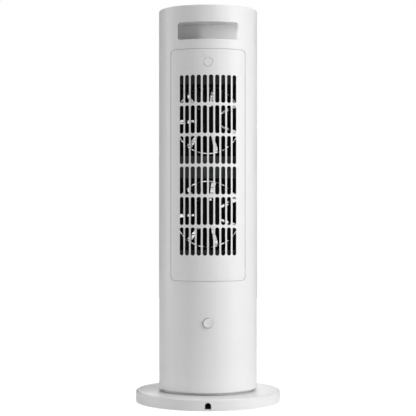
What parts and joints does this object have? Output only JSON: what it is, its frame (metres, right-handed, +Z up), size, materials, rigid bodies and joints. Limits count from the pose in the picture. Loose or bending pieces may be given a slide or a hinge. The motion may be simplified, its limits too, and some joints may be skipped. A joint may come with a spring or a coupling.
{
  "type": "ceramic tower heater",
  "caption": "Cylindrical swivelling tower heater on a round base: slotted intake panel over axial fans, finned ceramic block, outlet grille, carrying recess and power button.",
  "frame": {"origin": "on the floor under the tower's axis, at the bottom face of the feet", "axes": "+Z up along the tower's axis; +Y towards the intake side, where the slotted panel, the grip and the power button are; -Y is the warm-air outlet"},
  "size_m": [0.2, 0.2, 0.541],
  "materials": {
    "shell_white": "satin white moulded plastic",
    "base_white": "satin white moulded plastic",
    "button_white": "smooth white plastic, a little glossier than the shell",
    "cup_white": "fine-grained white plastic",
    "glass_white": "white back-painted control glass",
    "smoked_window": "smoked display window",
    "frame_grey": "dark grey structural plastic",
    "fan_black": "black moulded plastic",
    "black_plastic": "black moulded plastic",
    "rubber": "matt black rubber",
    "acetal": "off-white acetal",
    "steel": "bright zinc-plated steel",
    "spring_steel": "spring steel",
    "ballast_iron": "grey iron",
    "aluminium": "bright rolled aluminium",
    "heater_ceramic": "dark grey barium titanate ceramic",
    "insulator": "cream heat-resistant moulding",
    "brass": "brass terminals",
    "motor_winding": "lacquered copper winding",
    "board": "green circuit board",
    "board_mixed": "relays, capacitors, filter and connectors",
    "lead_red": "silicone insulated lead",
    "lead_grey": "sheathed supply lead"
  },
  "bodies": {
    "base": {"base_cover": "base_white", "base_plate": "base_white", "base_ballast": "ballast_iron", "rubber_feet": "rubber", "base_screws": "steel", "cord_gland": "black_plastic", "tipover_switch": "black_plastic", "tipover_spring": "spring_steel", "spindle": "steel", "fixed_gear": "acetal", "spindle_nut": "steel", "supply_lead": "lead_grey"},
    "tower": {"tower_shell": "shell_white", "turntable_plate": "frame_grey", "top_cap": "shell_white", "control_glass": "glass_white", "touch_board": "board", "grip_cup": "cup_white", "outlet_grille": "shell_white", "display_window": "smoked_window", "display_board": "board", "lower_shelf": "frame_grey", "upper_shelf": "frame_grey", "side_rails": "steel", "tower_screws": "steel", "swing_motor": "steel", "motor_bracket": "frame_grey", "main_board": "board", "board_parts": "board_mixed", "board_tray": "frame_grey", "power_switch": "black_plastic", "switch_bracket": "frame_grey", "power_spring": "spring_steel", "panel_latch": "spring_steel", "fan_carrier": "frame_grey", "fan_frame_upper": "fan_black", "fan_frame_lower": "fan_black", "fan_motor_upper": "motor_winding", "fan_motor_lower": "motor_winding", "duct_walls": "frame_grey", "heater_end_caps": "insulator", "heater_tubes": "aluminium", "ceramic_plates": "heater_ceramic", "heater_fins": "aluminium", "heater_terminals": "brass", "thermal_cutout": "black_plastic", "outlet_sensor": "steel", "heater_leads": "lead_red"},
    "panel": {"intake_panel": "shell_white", "release_spring": "spring_steel"},
    "panel_release": {"release_button": "button_white"},
    "power_key": {"power_button": "button_white"},
    "fan_rotor_upper": {"impeller_upper": "fan_black", "fan_shaft_upper": "steel"},
    "fan_rotor_lower": {"impeller_lower": "fan_black", "fan_shaft_lower": "steel"},
    "swing_pinion": {"drive_pinion": "acetal"},
    "swivel_bearing": {"bearing_cage": "acetal", "bearing_balls": "steel"},
    "tipover_pin": {"tipover_plunger": "acetal"}
  },
  "joints": [
    {"name": "tower_swing", "type": "hinge", "parent": "base", "child": "tower", "pos_m": [0, 0, 0.02], "axis": [0, 0, 1], "range_deg": [-35, 35], "deforming": ["supply_lead"]},
    {"name": "bearing_roll", "type": "hinge", "parent": "base", "child": "swivel_bearing", "pos_m": [0, 0, 0.0185], "axis": [0, 0, 1], "range_deg": [-17.5, 17.5]},
    {"name": "pinion_spin", "type": "hinge", "parent": "tower", "child": "swing_pinion", "pos_m": [-0.03, 0, 0.034], "axis": [0, 0, 1], "range_deg": [-105, 105]},
    {"name": "fan_upper_spin", "type": "hinge", "parent": "tower", "child": "fan_rotor_upper", "pos_m": [0, 0.028, 0.3875], "axis": [0, 1, 0], "continuous": true},
    {"name": "fan_lower_spin", "type": "hinge", "parent": "tower", "child": "fan_rotor_lower", "pos_m": [0, 0.028, 0.2595], "axis": [0, 1, 0], "continuous": true},
    {"name": "panel_tilt", "type": "hinge", "parent": "tower", "child": "panel", "pos_m": [0, 0.068, 0.1695], "axis": [-1, 0, 0], "range_deg": [0, 25], "deforming": ["panel_latch"]},
    {"name": "release_press", "type": "slide", "parent": "panel", "child": "panel_release", "axis": [0, -1, 0], "range_m": [0, 0.0018], "stiffness_N_per_m": 400, "springref_m": -0.003, "deforming": ["release_spring"]},
    {"name": "power_press", "type": "slide", "parent": "tower", "child": "power_key", "axis": [0, -1, 0], "range_m": [0, 0.0025], "stiffness_N_per_m": 500, "springref_m": -0.003, "deforming": ["power_spring"]},
    {"name": "tipover_drop", "type": "slide", "parent": "base", "child": "tipover_pin", "axis": [0, 0, -1], "range_m": [0, 0.003], "stiffness_N_per_m": 60, "springref_m": 0.004, "deforming": ["tipover_spring"]}
  ],
  "couplings": [
    {"joint": "bearing_roll", "follows": "tower_swing", "ratio": 0.5},
    {"joint": "pinion_spin", "follows": "tower_swing", "ratio": 3}
  ]
}
